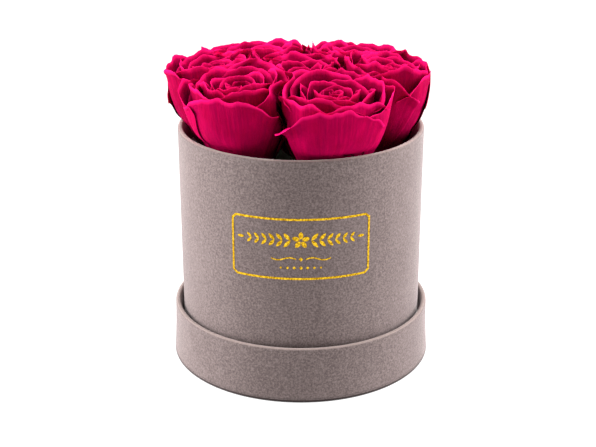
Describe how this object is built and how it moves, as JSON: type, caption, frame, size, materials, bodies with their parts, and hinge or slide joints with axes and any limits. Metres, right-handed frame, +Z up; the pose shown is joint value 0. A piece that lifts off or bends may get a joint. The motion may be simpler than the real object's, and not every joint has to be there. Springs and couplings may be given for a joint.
{
  "type": "flower box",
  "caption": "Round suede-covered flower box standing in its upturned lid, filled with long-life rose heads on picks that pull out of a foam block.",
  "frame": {"origin": "middle of the lid's flat outer face, which rests on the table", "axes": "+Z up through the middle of the box, -Y towards the front, where the foil print is"},
  "size_m": [0.1526, 0.1526, 0.1765],
  "materials": {
    "suede": "short brushed nap, matt with a pale sheen at grazing angles",
    "grey_board": "uncoated grey bookbinding board",
    "lining_paper": "matt off-white lining paper",
    "gold_foil": "hot-stamped gold foil, shiny",
    "dry_foam": "fine-celled dry floral foam",
    "petals": "soft dyed petals, matt with fine veins",
    "calyx": "dried green sepals, matt",
    "pick_wood": "raw split bamboo"
  },
  "bodies": {
    "lid": {"lid_top_cover": "suede", "lid_top_board": "grey_board", "lid_wall_board": "grey_board", "lid_side_cover": "suede", "lid_lining_band": "lining_paper", "lid_lining_disc": "lining_paper"},
    "box": {"box_base_cover": "lining_paper", "box_base_board": "grey_board", "box_wall_board": "grey_board", "box_side_cover": "suede", "box_lining_band": "lining_paper", "box_lining_disc": "lining_paper", "foil_frame": "gold_foil", "foil_garland": "gold_foil", "foil_flourish": "gold_foil", "foam_block": "dry_foam"},
    "centre_rose": {"centre_rose_bloom": "petals", "centre_rose_calyx": "calyx", "centre_rose_pick": "pick_wood"},
    "front_rose": {"front_rose_bloom": "petals", "front_rose_calyx": "calyx", "front_rose_pick": "pick_wood"},
    "right_rose": {"right_rose_bloom": "petals", "right_rose_calyx": "calyx", "right_rose_pick": "pick_wood"},
    "back_right_rose": {"back_right_rose_bloom": "petals", "back_right_rose_calyx": "calyx", "back_right_rose_pick": "pick_wood"},
    "back_left_rose": {"back_left_rose_bloom": "petals", "back_left_rose_calyx": "calyx", "back_left_rose_pick": "pick_wood"},
    "left_rose": {"left_rose_bloom": "petals", "left_rose_calyx": "calyx", "left_rose_pick": "pick_wood"},
    "front_left_rose": {"front_left_rose_bloom": "petals", "front_left_rose_calyx": "calyx", "front_left_rose_pick": "pick_wood"}
  },
  "joints": [
    {"name": "box_lift", "type": "slide", "parent": "lid", "child": "box", "axis": [0, 0, 1], "range_m": [0, 0.045]},
    {"name": "centre_rose_pull", "type": "slide", "parent": "box", "child": "centre_rose", "axis": [0, 0, 1], "range_m": [0, 0.085]},
    {"name": "front_rose_pull", "type": "slide", "parent": "box", "child": "front_rose", "axis": [0.0437, -0.1138, 0.9925], "range_m": [0, 0.085]},
    {"name": "right_rose_pull", "type": "slide", "parent": "box", "child": "right_rose", "axis": [0.1218, -0.0043, 0.9925], "range_m": [0, 0.085]},
    {"name": "back_right_rose_pull", "type": "slide", "parent": "box", "child": "back_right_rose", "axis": [0.0815, 0.0906, 0.9925], "range_m": [0, 0.085]},
    {"name": "back_left_rose_pull", "type": "slide", "parent": "box", "child": "back_left_rose", "axis": [-0.0733, 0.0973, 0.9925], "range_m": [0, 0.085]},
    {"name": "left_rose_pull", "type": "slide", "parent": "box", "child": "left_rose", "axis": [-0.1214, 0.0106, 0.9925], "range_m": [0, 0.085]},
    {"name": "front_left_rose_pull", "type": "slide", "parent": "box", "child": "front_left_rose", "axis": [-0.0831, -0.0891, 0.9925], "range_m": [0, 0.085]}
  ]
}
